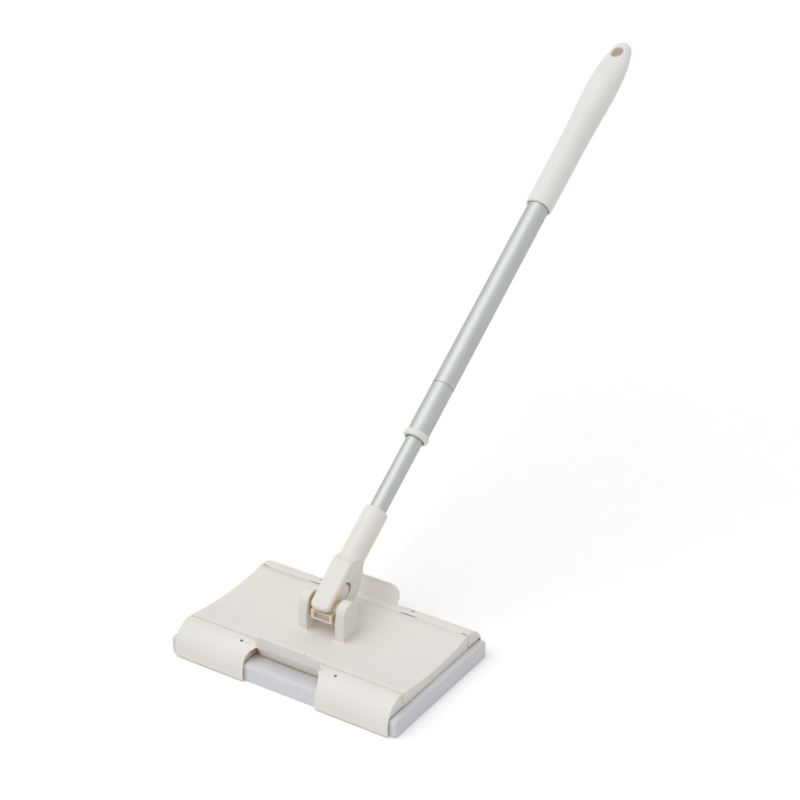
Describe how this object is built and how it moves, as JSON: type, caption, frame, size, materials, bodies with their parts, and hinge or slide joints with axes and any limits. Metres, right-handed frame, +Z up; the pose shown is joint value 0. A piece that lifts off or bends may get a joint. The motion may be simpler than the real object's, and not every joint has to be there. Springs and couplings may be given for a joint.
{
  "type": "carpet sweeper",
  "caption": "Flat floor and carpet wiper head with a sponge pad under two sprung clamp flaps, on a universal joint and a telescopic pole with a hanging eye.",
  "frame": {"origin": "centre of the pad's underside, on the floor", "axes": "+X along the head's long side, +Y from the head's front to its rear, where the pole leans, +Z up"},
  "size_m": [0.28, 0.7149, 0.5124],
  "materials": {
    "plate_plastic": "matt moulded plastic with a fine grain",
    "flap_plastic": "matt moulded plastic",
    "joint_plastic": "satin moulded plastic",
    "grip_plastic": "satin moulded plastic",
    "lock_plastic": "matt moulded plastic",
    "sponge": "fine-celled soft sponge",
    "tube_metal": "satin drawn tube",
    "steel_wire": "plain drawn wire"
  },
  "bodies": {
    "base": {"base_plate": "plate_plastic", "sponge_pad": "sponge", "front_hinge_rod": "steel_wire", "rear_hinge_rod": "steel_wire", "front_flap_springs": "steel_wire", "rear_flap_springs": "steel_wire", "yoke_pins": "steel_wire"},
    "front_flap": {"front_flap": "flap_plastic"},
    "rear_flap": {"rear_flap": "flap_plastic"},
    "yoke": {"cross_block": "joint_plastic"},
    "pole": {"pole_fork": "joint_plastic", "fork_pin": "steel_wire", "inner_tube": "tube_metal", "lock_stem": "lock_plastic"},
    "lock": {"lock_sleeve": "lock_plastic"},
    "outer_pole": {"collar_ring": "grip_plastic", "lower_outer_tube": "tube_metal", "tube_coupling": "lock_plastic", "upper_outer_tube": "tube_metal", "grip": "grip_plastic"}
  },
  "joints": [
    {"name": "front_flap_hinge", "type": "hinge", "parent": "base", "child": "front_flap", "pos_m": [0, -0.0644, 0.0334], "axis": [-1, 0, 0], "range_deg": [0, 85], "stiffness_Nm_per_rad": 0.03, "springref_deg": -34.38, "deforming": ["front_flap_springs"]},
    {"name": "rear_flap_hinge", "type": "hinge", "parent": "base", "child": "rear_flap", "pos_m": [0, 0.0644, 0.0334], "axis": [1, 0, 0], "range_deg": [0, 85], "stiffness_Nm_per_rad": 0.03, "springref_deg": -34.38, "deforming": ["rear_flap_springs"]},
    {"name": "yoke_lean", "type": "hinge", "parent": "base", "child": "yoke", "pos_m": [0, 0, 0.06], "axis": [1, 0, 0], "range_deg": [-20, 129]},
    {"name": "pole_sway", "type": "hinge", "parent": "yoke", "child": "pole", "pos_m": [0, 0, 0.06], "axis": [0, -0.5807, 0.8141], "range_deg": [-15, 15]},
    {"name": "lock_twist", "type": "hinge", "parent": "pole", "child": "lock", "pos_m": [0, 0.394, 0.34454], "axis": [0, 0.8141, 0.5807], "range_deg": [0, 150]},
    {"name": "pole_extend", "type": "slide", "parent": "lock", "child": "outer_pole", "axis": [0, 0.8141, 0.5807], "range_m": [-0.088, 0.172]}
  ]
}
